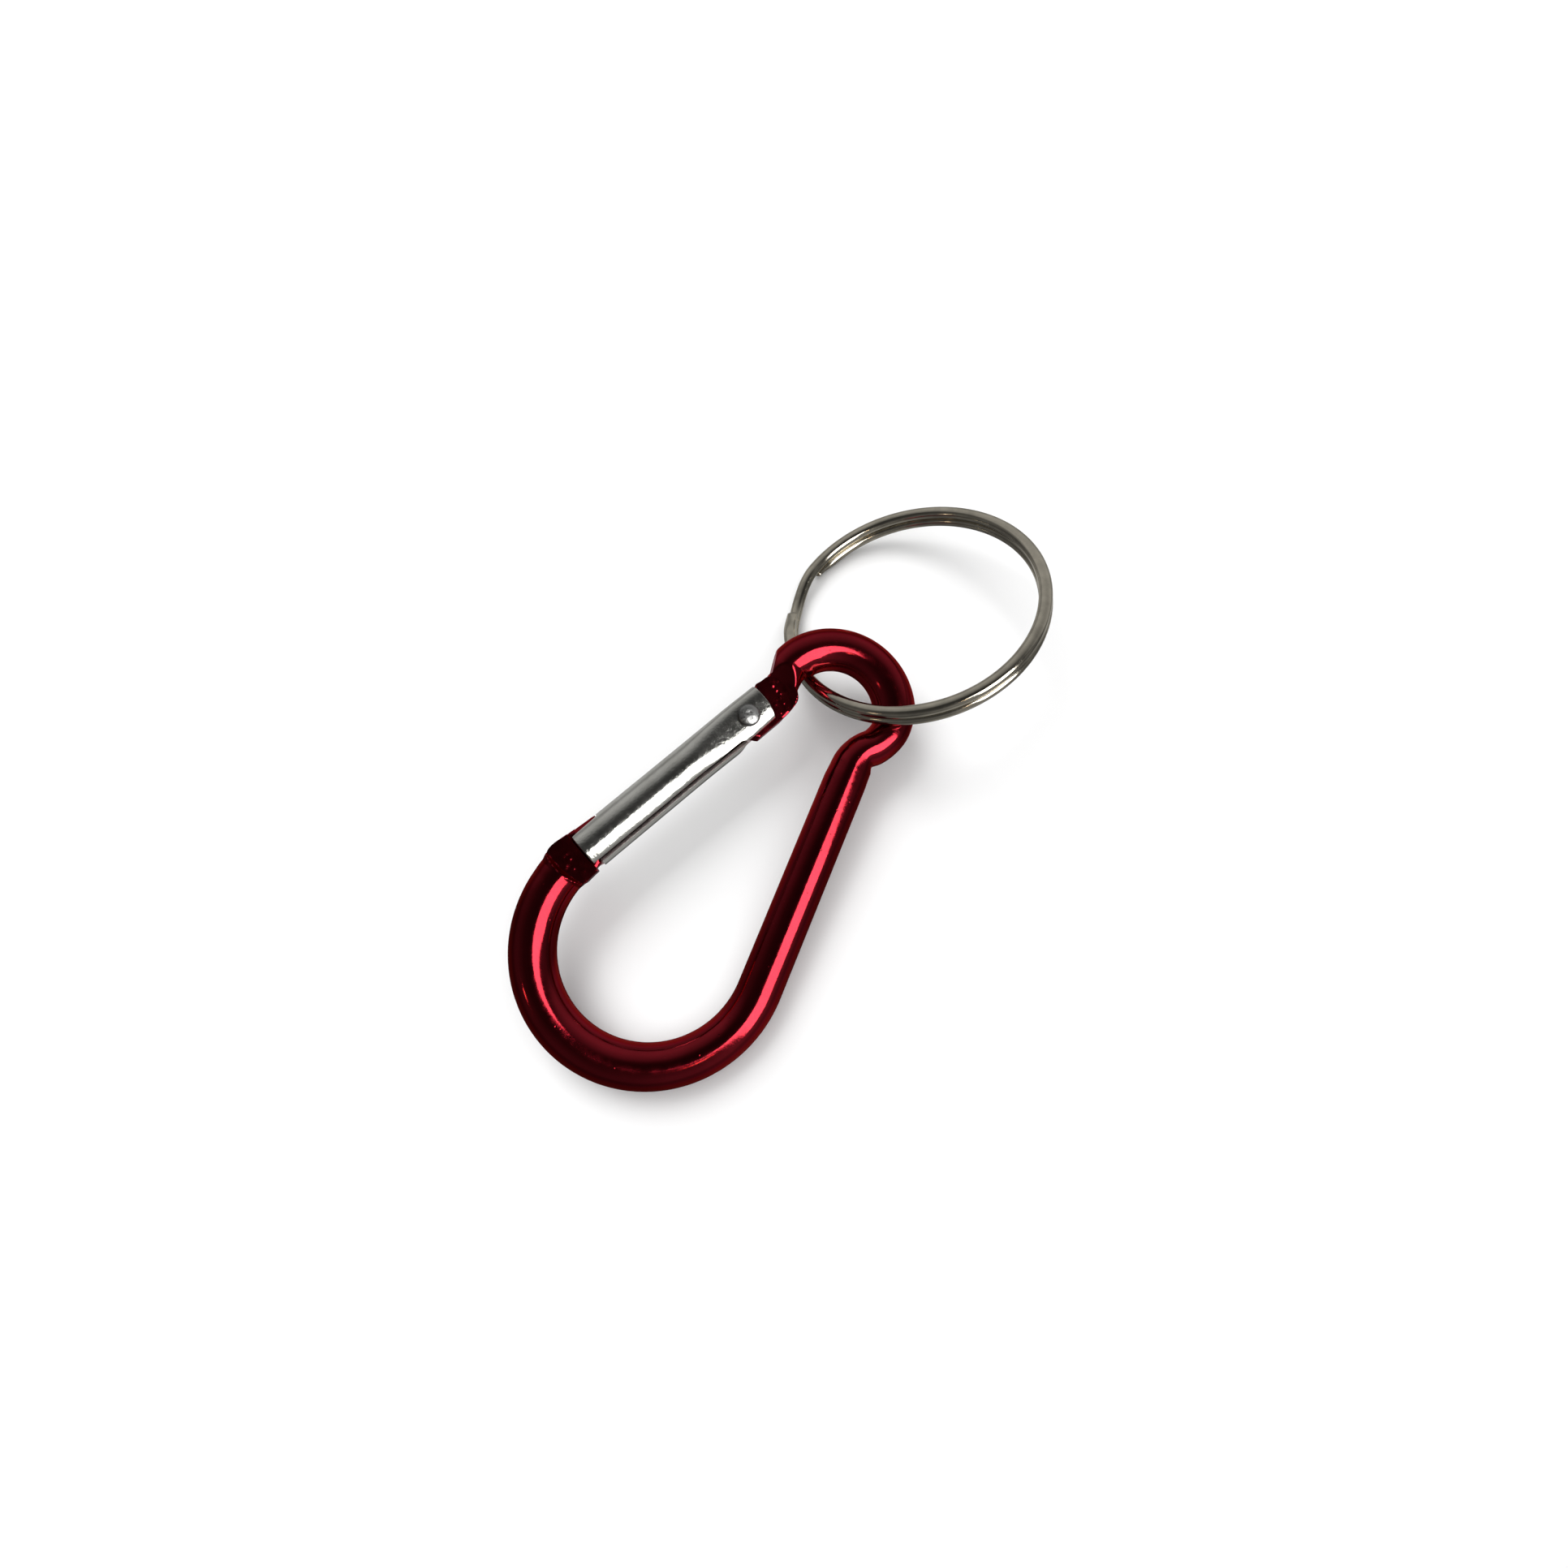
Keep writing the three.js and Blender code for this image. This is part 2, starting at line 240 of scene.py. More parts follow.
# ---- materials ----
class Finish:
    """A metal finish and the nodes that vary it, in the object's own space."""

    def __init__(self, name, colour, roughness, **sockets):
        self.material = bpy.data.materials.new(name)
        self.material.use_nodes = True
        self.nodes = self.material.node_tree.nodes
        self.links = self.material.node_tree.links
        self.shader = self.nodes["Principled BSDF"]
        self.set("Metallic", 1.0)
        self.set("Base Color", (*colour, 1))
        self.set("Roughness", roughness)
        for socket, value in sockets.items():
            self.set(socket.replace("_", " "), value)
        self.where = self.nodes.new("ShaderNodeTexCoord").outputs["Object"]
        self.normal = None

    def set(self, socket, value):
        self.shader.inputs[socket].default_value = value

    def noise(self, size_mm, detail=2.0):
        """Soft noise whose features are about size_mm across."""
        noise = self.nodes.new("ShaderNodeTexNoise")
        noise.inputs["Scale"].default_value = 1 / (size_mm * MM)
        noise.inputs["Detail"].default_value = detail
        self.links.new(self.where, noise.inputs["Vector"])
        return noise.outputs["Fac"]

    def cells(self, size_mm):
        """Distance to the nearest of the points strewn about size_mm apart."""
        cells = self.nodes.new("ShaderNodeTexVoronoi")
        cells.inputs["Scale"].default_value = 1 / (size_mm * MM)
        self.links.new(self.where, cells.inputs["Vector"])
        return cells.outputs["Distance"]

    def map(self, value, low, high, out_low=0.0, out_high=1.0):
        ramp = self.nodes.new("ShaderNodeMapRange")
        ends = {"From Min": low, "From Max": high, "To Min": out_low, "To Max": out_high}
        for socket, number in ends.items():
            ramp.inputs[socket].default_value = number
        self.links.new(value, ramp.inputs["Value"])
        return ramp.outputs["Result"]

    def mix(self, factor, a, b):
        mix = self.nodes.new("ShaderNodeMix")
        mix.data_type = "RGBA"
        mix.inputs["A"].default_value = (*a, 1)
        mix.inputs["B"].default_value = (*b, 1)
        self.links.new(factor, mix.inputs["Factor"])
        return mix.outputs["Result"]

    def drive(self, socket, value):
        self.links.new(value, self.shader.inputs[socket])

    def bump(self, height, depth_mm):
        """Adds a bump of that depth over the ones before it."""
        bump = self.nodes.new("ShaderNodeBump")
        bump.inputs["Distance"].default_value = depth_mm * MM
        bump.inputs["Strength"].default_value = 1
        self.links.new(height, bump.inputs["Height"])
        if self.normal:
            self.links.new(self.normal, bump.inputs["Normal"])
        self.normal = bump.outputs["Normal"]
        self.links.new(self.normal, self.shader.inputs["Normal"])


def red_finish():
    """Polished aluminium with a deep red anodised coat, a little orange peel and tiny pits."""
    finish = Finish("red_anodised", (0.26, 0.012, 0.022), 0.11, Coat_Weight=0.1, Coat_Roughness=0.04)
    finish.set("Specular Tint", (0.8, 0.12, 0.2, 1))
    shade = finish.map(finish.noise(3.5, 3), 0.35, 0.65)
    finish.drive("Base Color", finish.mix(shade, (0.28, 0.012, 0.022), (0.24, 0.01, 0.018)))
    pits = finish.map(finish.cells(0.9), 0.03, 0.1, 1, 0)
    finish.drive("Roughness", finish.map(finish.noise(0.8, 4), 0.3, 0.7, 0.08, 0.15))
    finish.bump(finish.noise(0.45, 3), 0.006)
    finish.bump(pits, -0.012)
    return finish.material


def sheet_finish():
    """Bright rolled sheet, uneven in shade and polish, with fine and coarser ripples."""
    finish = Finish("bright_sheet", (0.72, 0.71, 0.68), 0.14)
    shade = finish.map(finish.noise(2.2, 3), 0.3, 0.7)
    finish.drive("Base Color", finish.mix(shade, (0.77, 0.76, 0.71), (0.66, 0.65, 0.6)))
    finish.drive("Roughness", finish.map(finish.noise(0.5, 4), 0.3, 0.7, 0.1, 0.2))
    finish.bump(finish.noise(0.22, 5), 0.014)
    finish.bump(finish.noise(1.2, 2), 0.02)
    return finish.material


def rivet_finish():
    """Dull steel, with painted shade: a dark ring round the edge of the upper head."""
    finish = Finish("dull_rivet", (0.42, 0.42, 0.41), 0.32)
    off = finish.nodes.new("ShaderNodeVectorMath")
    off.operation = "DISTANCE"
    off.inputs[1].default_value = RIVET_AT + np.array(PLANE_UP) * HEAD_MIDDLE * MM
    finish.links.new(finish.where, off.inputs[0])
    # Painted shade: the head's edge is coloured dark, as the shade in the angle where it meets the sheet.
    painted_rim_shade = finish.map(off.outputs["Value"], (RIVET_HEAD_R - 0.2) * MM, RIVET_HEAD_R * MM)
    finish.drive("Base Color", finish.mix(painted_rim_shade, (0.42, 0.42, 0.41), (0.09, 0.085, 0.08)))
    finish.drive("Roughness", finish.map(finish.noise(0.2, 4), 0.3, 0.7, 0.22, 0.42))
    finish.bump(finish.noise(0.16, 4), 0.02)
    return finish.material


def ring_finish():
    """Nickel plate on spring wire, drawn smooth, with faint ripples."""
    finish = Finish("nickel_wire", (0.56, 0.53, 0.44), 0.08)
    shade = finish.map(finish.noise(1.5, 3), 0.3, 0.7)
    finish.drive("Base Color", finish.mix(shade, (0.66, 0.61, 0.5), (0.5, 0.46, 0.38)))
    finish.drive("Roughness", finish.map(finish.noise(0.6, 3), 0.3, 0.7, 0.07, 0.16))
    finish.bump(finish.noise(0.9, 2), 0.01)
    return finish.material


def spring_finish():
    """Drawn wire, a little dull."""
    finish = Finish("spring_wire", (0.56, 0.56, 0.57), 0.25)
    finish.bump(finish.noise(0.12, 3), 0.01)
    finish.drive("Roughness", finish.map(finish.noise(0.3, 3), 0.3, 0.7, 0.2, 0.35))
    return finish.material


def brass_finish():
    """Brass, a little uneven in its polish."""
    finish = Finish("turned_brass", (0.72, 0.56, 0.28), 0.25)
    finish.drive("Roughness", finish.map(finish.noise(0.25, 3), 0.3, 0.7, 0.18, 0.34))
    finish.bump(finish.noise(0.1, 2), 0.008)
    return finish.material


def bore_finish():
    """The inside of the gate: unpolished, and painted dark red as the shade inside the tube and the red rod's
    reflection in it.
    """
    # Painted shade and painted reflection: a dark red base colour in place of the sheet's steel.
    finish = Finish("gate_bore", (0.06, 0.02, 0.025), 0.5)
    finish.drive("Roughness", finish.map(finish.noise(0.4, 3), 0.3, 0.7, 0.4, 0.6))
    finish.bump(finish.noise(0.2, 3), 0.01)
    return finish.material


def cut_edge_finish():
    """The sheet's cut edges: rougher than its faces, painted lighter as a highlight on the rim and a little
    pink as the red rod's reflection.
    """
    # Painted highlight and painted reflection: the base colour is lighter than the sheet's and tinted pink
    # like the rod beside it.
    finish = Finish("cut_edge", (0.84, 0.76, 0.75), 0.42)
    finish.drive("Roughness", finish.map(finish.noise(0.3, 3), 0.3, 0.7, 0.34, 0.5))
    finish.bump(finish.noise(0.15, 3), 0.012)
    return finish.material


RED = red_finish()
CUT_EDGE = cut_edge_finish()
BORE = bore_finish()
SHEET = sheet_finish()
RIVET_STEEL = rivet_finish()
NICKEL = ring_finish()
SPRING_STEEL = spring_finish()
BRASS = brass_finish()


# ---- frame ----
def arc(centre, radius, start, stop):
    angle = np.linspace(start, stop, 400)
    return np.stack([centre[0] + radius * np.cos(angle), centre[1] + radius * np.sin(angle)], -1)


def bezier(*controls):
    """A quadratic or cubic curve through its first and last control."""
    t = np.linspace(0, 1, 200)[:, None]
    controls = [np.asarray(c, float)[:2] + 0 * t for c in controls]
    while len(controls) > 1:
        controls = [a + (b - a) * t for a, b in zip(controls, controls[1:])]
    return controls[0]


def rod_line():
    """The rod's centreline from the nose, round the big bend, up the limb and round the eye to the hinge."""
    along = np.array([math.sin(GATE_LEAN), math.cos(GATE_LEAN)])
    tangent = BEND_R * np.array([-along[1], along[0]])
    nose = from_rivet((0, TANG_TIP))
    start = tangent + along * ((nose - tangent) @ along)
    eye_start = (EYE_R * math.cos(EYE_START), EYE_Y + EYE_R * math.sin(EYE_START))
    neck = [from_rivet(p) for p in (*NECK, (0, HINGE_TIP))]
    eye = arc((0, EYE_Y), EYE_R, EYE_START, EYE_STOP)
    bend = arc((0, 0), BEND_R, math.pi - GATE_LEAN, 2 * math.pi + LIMB_LEAN)
    stretches = [
        bezier(start, tangent),
        bend,
        bezier(bend[-1], LIMB_END),
        bezier(LIMB_END, KINK, KINK_END),
        bezier(KINK_END, *KINK_TO_EYE, eye_start),
        eye,
        bezier(eye[-1], *neck[:3]),
        bezier(neck[2], neck[3]),
    ]
    return np.concatenate([stretches[0], *[s[1:] for s in stretches[1:]]])


# Rows of (distance from the end, inner half width, outer half width, half height, power).
NOSE_END = [
    (0, 1.1, 1.93, 0.75, 3),
    (0.5, 1.2, 1.98, 0.9, 3),
    (1.95, 1.2, 2.05, 0.93, 3),
    (2.2, 1.72, 2.08, 0.93, 8),
    (2.72, 1.75, 2.08, 0.95, 16),
    (2.82, 2.06, 2.1, 1.32, 18),
    (4.2, 2.12, 2.2, 1.42, 18),
    (4.8, 2.05, 2.12, 1.85, 4),
    (5.4, ROD_R, 2.03, ROD_R, 2.1),
    (6.4, ROD_R, ROD_R, ROD_R, 2),
]
HINGE_END = [
    (0, 1.2, 0.1, FLAT - 0.15, 6),
    (0.5, 1.5, 0.95, FLAT, 7),
    (1.3, 2.15, 1.48, FLAT, 30),
    (3.87, 2.15, 1.5, FLAT, 30),
    (4.05, 2.13, 1.84, FLAT + 0.03, 30),
    (4.7, 2.05, 1.74, FLAT + 0.1, 30),
    (5.5, 1.98, 1.72, 1.5, 8),
    (6.3, 1.5, 1.55, 1.8, 3),
    (7.9, 1.8, 1.9, 1.96, 2.1),
    (9.8, ROD_R, ROD_R, ROD_R, 2),
]
# Rows of (distance past the kink, share of the inner half width, of the outer one and of the half height).
KINK_PINCH = [
    (-3, 1, 1, 1),
    (-1.1, 0.94, 0.97, 1),
    (0.35, 0.9, 0.8, 1),
    (1.6, 0.88, 0.86, 1),
    (4.2, 0.95, 0.86, 1),
    (6.5, 1, 1, 1),
]
# Small dents and burrs that the press left, from the rivet: x, y, radius and height.
HINGE_MARKS = [
    (-1.3, 3.66, 0.18, 0.018),
    (-1.08, 3.9, 0.17, 0.02),
    (-0.84, 4.14, 0.17, 0.018),
    (-0.81, 3.6, 0.14, 0.024),
    (-0.5, 3.55, 0.09, -0.018),
    (-0.27, 3.61, 0.12, 0.02),
    (0, 3.5, 0.09, -0.018),
    (0.23, 3.64, 0.12, 0.02),
    (0.51, 3.4, 0.12, 0.018),
    (0.64, 3, 0.09, -0.018),
    (0.71, 2.65, 0.12, 0.018),
    (1.5, 3.3, 0.14, 0.014),
    (0.4, 4.5, 0.3, 0.1),
    (0.85, 4.4, 0.2, 0.06),
]
NOSE_MARKS = [
    (-0.87, -19.88, 0.15, 0.027),
    (-0.6, -20.1, 0.14, -0.023),
    (-0.33, -19.89, 0.15, 0.032),
    (-0.74, -20.62, 0.23, 0.032),
    (-0.4, -20.52, 0.23, 0.032),
    (-0.1, -20.48, 0.21, 0.027),
    (0.5, -20.18, 0.14, 0.032),
    (0.3, -20.6, 0.14, -0.018),
    (1.2, -19.7, 0.16, 0.018),
]


def pressed(x, y, z, at_hinge):
    """Brings z down to the flat that the press left on each face, with its marks and the slope at its end."""
    u, v = seen_from_rivet(x, y)
    if at_hinge:
        # The flat ends in an arc about a point near the rivet, and slopes up gently past it.
        middle, radius, slope = 1.45, 2.95, 0.47
        past = np.hypot(u, v - middle) - radius
        level, marks = FLAT, HINGE_MARKS
    else:
        # The flat ends in a shallow curve across the rod, with a steep slope past it.
        slope = 2.6
        past = -20.95 + 0.13 * u + 0.05 * u**2 - v
        level, marks = FLAT + 0.05, NOSE_MARKS
    cap = level + slope * np.maximum(past, 0)
    for mark_x, mark_y, radius, height in marks:
        cap = cap + height * np.exp(-(((u - mark_x) ** 2 + (v - mark_y) ** 2) / radius**2))
    return np.sign(z) * soft_min(np.abs(z), cap, PRESS_EDGE)


def rod_mesh(sides=144):
    """The rod swept along its line, with its sections closer together near both ends."""
    line = rod_line()
    step = np.hypot(*np.diff(line, axis=0).T)
    line = line[np.r_[True, step > 1e-9]]
    distance = np.r_[0, np.cumsum(np.hypot(*np.diff(line, axis=0).T))]
    length = distance[-1]
    dense = np.linspace(0, length, 2400)
    fine, coarse = 0.085, 0.2
    spacing = np.where((dense < FINE_TO[0]) | (dense > length - FINE_TO[1]), fine, coarse)
    steps = np.r_[0, np.cumsum(np.diff(dense) / spacing[1:])]
    s = np.interp(np.arange(0, math.ceil(steps[-1])) * steps[-1] / math.floor(steps[-1]), steps, dense)
    at = np.stack([np.interp(s, distance, line[:, 0]), np.interp(s, distance, line[:, 1])], -1)
    # Each section's heading is taken over a short reach both ways, so that it turns smoothly.
    reach = 0.45
    ahead = [np.interp(np.clip(s + reach, 0, length), distance, line[:, i]) for i in (0, 1)]
    behind = [np.interp(np.clip(s - reach, 0, length), distance, line[:, i]) for i in (0, 1)]
    heading = np.arctan2(ahead[1] - behind[1], ahead[0] - behind[0])
    inward = np.stack([-np.sin(heading), np.cos(heading)], -1)
    from_end = np.where(s < length / 2, s, length - s)
    nose, hinge = blend(NOSE_END, from_end), blend(HINGE_END, from_end)
    widths = np.where(s < length / 2, nose, hinge)
    kink_at = distance[np.argmin(np.hypot(*(line - KINK).T))]
    widths[:3] *= blend(KINK_PINCH, s - kink_at)
    inner, outer, height, power = widths[:, :, None]
    angle = np.arange(sides) * 2 * math.pi / sides
    across, up = rounded(angle[None], outer, inner, height, power)
    x = at[:, :1] + inward[:, :1] * across
    y = at[:, 1:] + inward[:, 1:] * across
    near_nose, near_hinge = s < PRESSED_TO[0], s > length - PRESSED_TO[1]
    up[near_nose] = pressed(x[near_nose], y[near_nose], up[near_nose], False)
    up[near_hinge] = pressed(x[near_hinge], y[near_hinge], up[near_hinge], True)
    points = np.stack([x, y, up], -1)
    points[near_hinge] = sheared(points[near_hinge])
    return to_row(points.reshape(-1, 3)), tube_faces(len(s), sides)


def sheared(points):
    """Points moved in to the flat facet on the outside of the neck, where the press sheared the rod."""
    corner, foot = from_rivet(FACET)
    along = (foot - corner) / np.hypot(*(foot - corner))
    outward = np.array([along[1], -along[0]])
    proud = (points[..., :2] - corner) @ outward
    reach = (points[..., :2] - corner) @ along
    start, end = -0.4, np.hypot(*(foot - corner))
    on_facet = (reach > start) & (reach < end)
    cut = np.where(on_facet, np.maximum(proud, 0), 0)
    points[..., :2] -= cut[..., None] * outward
    return points


def make_frame():
    points, faces = rod_mesh()
    rod = piece("rod_frame", points, faces, "frame", RED, ["frame"])
    round_edges(rod, 50 * DEG)
    rod.data.set_sharp_from_angle(angle=28 * DEG)


# ---- gate: a rolled tube of sheet with an open seam on its inner side ----
# Rows of (y from the rivet, outer side, inner side, half height, power).
GATE_ROWS = [
    (GATE_END, 1.98, 1.95, 1.95, 2.1),
    (-7, 1.98, 1.95, 1.95, 2.1),
    (-0.9, 1.97, 2.03, CHEEK, 3.4),
    (GATE_TOP, 1.92, 1.92, CHEEK, 3.4),
]
SEAM_TURN_HALF = 1.4 * SEAM / 1.98  # half the open seam, seen from the gate's middle, between bevelled lips
MOUTH_Y = -1.5  # where the mouth for the frame's flat end starts
LIP_SHORT = 0.6  # how much sooner the lower lip ends at the nose
CHEEK_EDGE = 35.5 * DEG


def gate_surface(angle, y):
    """The sheet's outer face at each angle round the gate and each y along it."""
    outer, inner, height, power = blend(GATE_ROWS, y)
    across, up = rounded(angle, outer, inner, height, power)
    return np.stack([across, y, up], -1)


def nose_start(angle):
    """Where the sheet starts at the nose: cut away on the outer side, for the frame's tang."""
    off = np.abs(angle - math.pi)
    cut_to = TANG_TIP + 0.12
    cut_half, corner = 28 * DEG, 7 * DEG
    return cut_to + (GATE_END - cut_to) * smoothstep((off - cut_half) / corner)


def gate_mesh():
    """The sheet's outer face in two joined grids of quads: the back with both cheeks, and the inner side."""
    upper_lip, lower_lip = SEAM_TURN + SEAM_TURN_HALF, SEAM_TURN - SEAM_TURN_HALF + 2 * math.pi
    cheek = 2 * math.pi - CHEEK_EDGE
    rows = np.linspace(0, 1, 150)
    rows_top = np.linspace(0, 1, 36)[1:]
    around = np.linspace(0, 1, 150)
    # The back: from the upper lip round the outer side to the lower cheek's edge.
    start = nose_start(upper_lip + (cheek - upper_lip) * around)
    y_low = start[None] + rows[:, None] * (MOUTH_Y - start[None])
    # The hinge end is cut lowest on the outer side and at both cheeks' inner edges.
    top = GATE_TOP - 0.35 * (np.abs(np.cos(cheek * around)) ** 6)
    y_back = np.concatenate([y_low, MOUTH_Y + rows_top[:, None] * (top[None] - MOUTH_Y)])
    # The upper lip swings over to the cheek's edge around the start of the mouth.
    lip = upper_lip + (CHEEK_EDGE - upper_lip) * smoothstep((y_back - MOUTH_Y + 0.6) / 0.9)
    back = gate_surface(lip + (cheek - lip) * around, y_back)
    # The lower part of the inner side, up to the mouth that the frame's flat end stands in.
    inner_angle = np.linspace(cheek, lower_lip, 50)[1:]
    mouth_depth = 1.1
    mouth = MOUTH_Y - mouth_depth * np.clip(1 - (np.sin(inner_angle) / math.sin(CHEEK_EDGE)) ** 2, 0, 1)
    start = GATE_END + LIP_SHORT * smoothstep((inner_angle - cheek) / (9 * DEG))
    y_inner = start[None] + rows[:, None] * (mouth - start)[None]
    inner = gate_surface(inner_angle[None] + 0 * y_inner, y_inner)
    points = np.concatenate([back.reshape(-1, 3), inner.reshape(-1, 3)])
    cols, cols_inner = len(around), len(inner_angle)
    first_inner = len(back) * cols
    faces = [
        (k * cols + i, k * cols + i + 1, (k + 1) * cols + i + 1, (k + 1) * cols + i)
        for k in range(len(back) - 1)
        for i in range(cols - 1)
    ]
    # Each row of the inner side goes on from the last point of the same row of the back.
    row = np.arange(len(rows))[:, None]
    own = first_inner + row * cols_inner + np.arange(cols_inner)
    joined = np.concatenate([row * cols + cols - 1, own], 1).tolist()
    for low, high in zip(joined, joined[1:]):
        faces += [(low[i], low[i + 1], high[i + 1], high[i]) for i in range(cols_inner)]
    return points, faces


def place_gate(points):
    return to_row(from_rivet(points))


def make_gate():
    points, faces = gate_mesh()
    shell = piece("gate_sheet", place_gate(points), faces, "gate", SHEET, ["gate"])
    middle = Vector(place_gate(np.array([[0, -9, 0]]))[0])
    top = max(shell.data.vertices, key=lambda v: v.co.z)
    inside_out = top.normal.dot(top.co - middle) < 0
    if inside_out:
        shell.data.flip_normals()
    shell.data.materials.append(BORE)
    shell.data.materials.append(CUT_EDGE)
    solid = {"thickness": WALL * MM, "offset": -1, "use_even_offset": True}
    with_modifier(shell, "SOLIDIFY", material_offset=1, material_offset_rim=2, **solid)
    round_edges(shell, 40 * DEG)
    make_spring_seat()


def make_spring_seat():
    """A tongue pressed in from the gate's back, which the spring stands on."""
    made = bmesh.new()
    bmesh.ops.create_cube(made, size=1)
    bmesh.ops.scale(made, vec=SEAT_SIZE, verts=made.verts)
    bmesh.ops.bevel(made, geom=made.edges, offset=0.08, segments=3, affect="EDGES")
    points = place_gate(np.array([v.co for v in made.verts]) + np.array(SEAT_AT))
    faces = [[v.index for v in f.verts] for f in made.faces]
    made.free()
    piece("gate_seat", points, faces, "gate", SHEET)


# ---- rivet, plunger and spring ----
# Dents in the rivet's head: x and y from its middle, radius and depth.
HEAD_DENTS = [(-0.1, 0.12, 0.3, 0.06), (0.34, -0.1, 0.22, 0.03), (-0.3, -0.34, 0.25, 0.02)]


def make_rivet():
    under = CHEEK + 0.02
    rim = under + 0.16
    rise = HEAD_HEIGHT - 0.16
    dome = [(RIVET_HEAD_R * math.cos(a * DEG), rim + rise * math.sin(a * DEG)) for a in range(0, 90, 6)]
    upper = [
        (RIVET_R, under),
        (RIVET_HEAD_R * 0.96, under),
        (RIVET_HEAD_R, under + 0.05),
        *dome,
        (0, under + HEAD_HEIGHT),
    ]
    profile = [(r, -h) for r, h in reversed(upper)] + upper
    points, faces = lathe(profile, 72)
    x, y, z = points.T
    for mark_x, mark_y, radius, depth in HEAD_DENTS:
        dent = depth * np.exp(-(((x - mark_x) ** 2 + (y - mark_y) ** 2) / radius**2))
        z -= np.where(np.abs(z) > under + 0.1, np.sign(z) * dent, 0)
    points = np.stack([x, y, z], -1)
    piece("rivet", place_gate(points), faces, "frame", RIVET_STEEL, ["hinge_rivet"])


def make_plunger():
    head = [
        (0, PLUNGER_TOP),
        (PLUNGER_R - 0.22, PLUNGER_TOP),
        (PLUNGER_R - 0.06, PLUNGER_TOP - 0.07),
        (PLUNGER_R, PLUNGER_TOP - 0.24),
        (PLUNGER_R, SPRING_TOP + 0.25),
        (PLUNGER_R - 0.08, SPRING_TOP + 0.12),
        (0.52, SPRING_TOP + 0.1),
        (0.45, SPRING_TOP),
        (0.45, SPRING_TOP - 1.85),
        (0.38, SPRING_TOP - 2),
        (0, SPRING_TOP - 2),
    ]
    points, faces = lathe(head, 56)
    points = place_gate(points[:, [0, 2, 1]])
    piece("plunger_pin", points, faces, "plunger", BRASS, ["gate_plunger"])


def make_spring():
    turns, wire_sides = 9, 14
    t = np.linspace(0, 1, turns * 40)
    angle = 2 * math.pi * turns * t
    # The end turns lie close, as on a ground spring.
    rise = (t - 0.12 * np.sin(2 * math.pi * t) / (2 * math.pi))[:, None]
    low, high = SPRING_END + 0.2, SPRING_TOP - 0.2
    wire = np.arange(wire_sides) * 2 * math.pi / wire_sides
    radius = SPRING_R + SPRING_WIRE * np.cos(wire)[None]
    height = low + (high - low) * rise + SPRING_WIRE * np.sin(wire)[None]
    points = np.stack([radius * np.cos(angle)[:, None], height, radius * np.sin(angle)[:, None]], -1)
    faces = tube_faces(len(t), wire_sides)
    points = place_gate(points.reshape(-1, 3))
    spring = piece("spring_coil", points, faces, "gate", SPRING_STEEL, ["gate_spring"])
    seat, top = (Vector(p) for p in place_gate(np.array([[0, SPRING_END, 0], [0, SPRING_TOP, 0]])))
    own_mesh(spring)


# ---- split ring: two turns of flattened wire, climbing from one to the next ----
def make_ring():
    span, sides, count = 4 * math.pi - RING_JOG, 32, 720
    end_round, end_grind = 0.18, 3
    ground_off, narrowed = 0.5, 0.3
    angle = np.linspace(0, span, count)
    climb = smoothstep((angle - 2 * math.pi + RING_JOG) / RING_JOG)
    end = np.minimum(angle, span - angle) * RING_R
    round_off = np.sqrt(np.clip(1 - (1 - np.clip(end / end_round, 0, 1)) ** 2, 0.08, 1))[:, None]
    about = (np.arange(sides) + 0.5) * 2 * math.pi / sides
    across, up = rounded(about[None], RING_WIRE[0], RING_WIRE[0], RING_WIRE[1], 2.2)
    # Each end is ground thinner on its open face and lies against the other turn.
    thin = (ground_off * (1 - smoothstep(end / end_grind)))[:, None]
    side = np.where(angle < span / 2, -1, 1)[:, None]
    r = RING_R + across * round_off * (1 - narrowed * thin)
    level = ((0.5 - climb) * RING_PITCH)[:, None] + up * round_off * (1 - thin) + side * thin * RING_WIRE[1]
    points = np.stack([r * np.cos(angle)[:, None], r * np.sin(angle)[:, None], level], -1).reshape(-1, 3)
    x, y, z = (Matrix.Rotation(angle, 3, axis) for angle, axis in zip(RING_TILT, "XYZ"))
    turn = np.array(x @ y @ z)
    points = to_row(points @ turn.T + np.array(RING_AT))
    piece("ring_wire", points, tube_faces(count, sides), "ring", NICKEL, ["split_ring"])


make_frame()
make_gate()
make_rivet()
make_plunger()
make_spring()
make_ring()


# ---- floor, surroundings and light ----
def make_floor():
    made = bmesh.new()
    bmesh.ops.create_grid(made, x_segments=8, y_segments=8, size=0.6)
    mesh = bpy.data.meshes.new("floor")
    made.to_mesh(mesh)
    made.free()
    floor = bpy.data.objects.new("floor", mesh)
    bpy.context.scene.collection.objects.link(floor)
    material = bpy.data.materials.new("pale_floor")
    material.use_nodes = True
    shader = material.node_tree.nodes["Principled BSDF"]
    shader.inputs["Base Color"].default_value = (0.82, 0.82, 0.82, 1)
    shader.inputs["Roughness"].default_value = 0.9
    shader.inputs["Specular IOR Level"].default_value = 0.1
    mesh.materials.append(material)
    floor.visible_glossy = False


# The room's grey by the height of the direction looked in, -1 to 1, and a factor on it by the direction's
# degrees round from +X.
SKY_BY_HEIGHT = [
    (-1, 0.1),
    (-0.85, 0.35),
    (-0.3, 0.33),
    (-0.1, 0.2),
    (0.08, 0.2),
    (0.25, 0.33),
    (0.5, 0.32),
    (0.64, 0.26),
    (0.77, 0.2),
    (0.87, 0.13),
    (0.94, 0.08),
    (1, 0.05),
]
SKY_BY_SIDE = [
    (-180, 0.9),
    (-160, 0.35),
    (-60, 0.35),
    (-35, 0.7),
    (-15, 1),
    (5, 1),
    (22, 0.45),
    (42, 0.4),
    (55, 1.1),
    (90, 1.3),
    (175, 1.3),
    (180, 0.9),
]


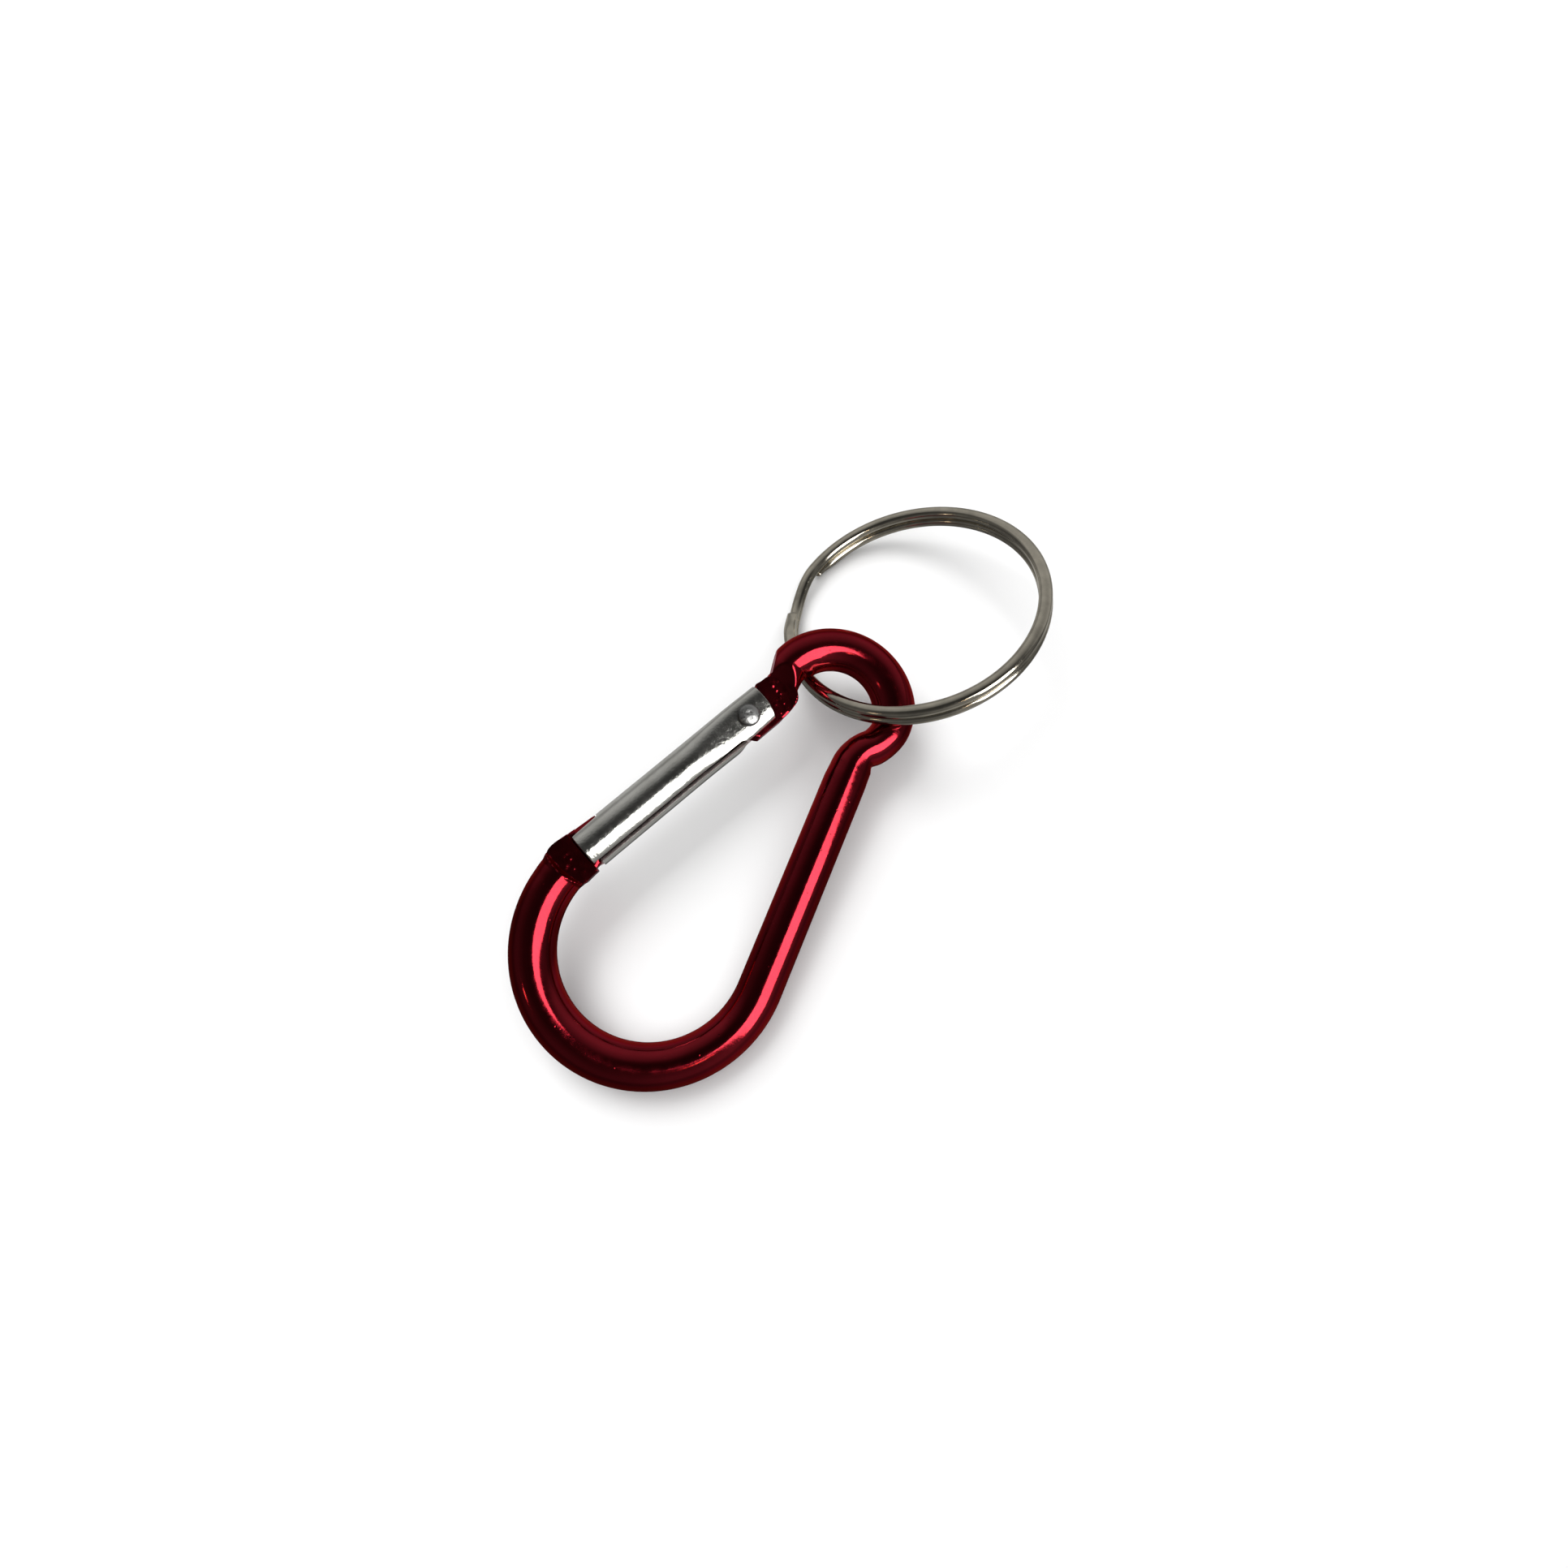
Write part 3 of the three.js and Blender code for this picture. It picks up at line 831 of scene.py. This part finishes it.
def make_world():
    """A dim room: dark overhead, with a darker band at the horizon, and lightest from +Y round to -X."""
    world = bpy.data.worlds.new("room")
    bpy.context.scene.world = world
    world.use_nodes = True
    nodes, links = world.node_tree.nodes, world.node_tree.links
    direction = nodes.new("ShaderNodeTexCoord").outputs["Generated"]
    parts = nodes.new("ShaderNodeSeparateXYZ")
    links.new(direction, parts.inputs["Vector"])

    def ramp(value, low, high, stops):
        """Grey that follows value through stops of (value, grey)."""
        spread = nodes.new("ShaderNodeMapRange")
        spread.inputs["From Min"].default_value = low
        spread.inputs["From Max"].default_value = high
        links.new(value, spread.inputs["Value"])
        made = nodes.new("ShaderNodeValToRGB")
        elements = made.color_ramp.elements
        while len(elements) > 1:
            elements.remove(elements[-1])
        for i, (at, grey) in enumerate(stops):
            element = elements.new((at - low) / (high - low)) if i else elements[0]
            element.position = (at - low) / (high - low)
            element.color = (grey, grey, grey, 1)
        links.new(spread.outputs["Result"], made.inputs["Fac"])
        return made.outputs["Color"]

    around = nodes.new("ShaderNodeMath")
    around.operation = "ARCTAN2"
    links.new(parts.outputs["Y"], around.inputs[0])
    links.new(parts.outputs["X"], around.inputs[1])
    by_height = ramp(parts.outputs["Z"], -1, 1, SKY_BY_HEIGHT)
    by_side = ramp(around.outputs["Value"], -math.pi, math.pi, [(at * DEG, grey) for at, grey in SKY_BY_SIDE])
    # Straight up, the side looked to makes no difference.
    overhead = nodes.new("ShaderNodeMapRange")
    overhead.inputs["From Min"].default_value = 0.86
    overhead.inputs["From Max"].default_value = 0.98
    links.new(parts.outputs["Z"], overhead.inputs["Value"])
    side = nodes.new("ShaderNodeMix")
    links.new(overhead.outputs["Result"], side.inputs["Factor"])
    links.new(by_side, side.inputs["A"])
    side.inputs["B"].default_value = 0.6
    background = nodes["Background"]
    links.new(by_height, background.inputs["Color"])
    links.new(side.outputs["Result"], background.inputs["Strength"])


def area_light(name, theta, phi, distance, size, radiance, colour=(1, 1, 1)):
    """A rectangular light towards theta degrees from straight up and phi degrees round from +X."""
    data = bpy.data.lights.new(name, "AREA")
    data.shape = "RECTANGLE"
    data.size, data.size_y = size
    data.color = colour
    # A lamp of this power gives off that radiance from its face.
    data.energy = radiance * math.pi * size[0] * size[1]
    lamp = bpy.data.objects.new(name, data)
    bpy.context.scene.collection.objects.link(lamp)
    level = math.sin(theta * DEG)
    towards = Vector((level * math.cos(phi * DEG), level * math.sin(phi * DEG), math.cos(theta * DEG)))
    lamp.location = towards * distance
    across = Vector((0, 0, 1)).cross(towards).normalized()
    lamp.matrix_world = Matrix.Translation(lamp.location) @ Matrix(
        (across, towards.cross(across), towards)
    ).transposed().to_4x4()
    return lamp


def make_lights():
    # What the metal mirrors: a bright window beyond the limb, and two small warm lamps.
    window = area_light("window", 41, 2, 0.5, (0.25, 0.4), 6)
    near_lamp = area_light("near_lamp", 58, -110, 0.5, (0.03, 0.03), 8, (1, 0.75, 0.5))
    far_lamp = area_light("far_lamp", 34, -32, 0.5, (0.02, 0.04), 8, (1, 0.75, 0.5))
    for lamp in (window, near_lamp, far_lamp):
        lamp.visible_diffuse = False
    # What lights the floor: one large soft light from the gate's side, and a weak one overhead.
    key = area_light("key", 40, 170, 0.6, (0.4, 0.4), 5.8)
    fill = area_light("fill", 5, 0, 0.7, (1.2, 1.2), 1.4)
    for lamp in (key, fill):
        lamp.visible_glossy = False


make_floor()
make_world()
make_lights()
bpy.context.scene.view_settings.view_transform = "Standard"
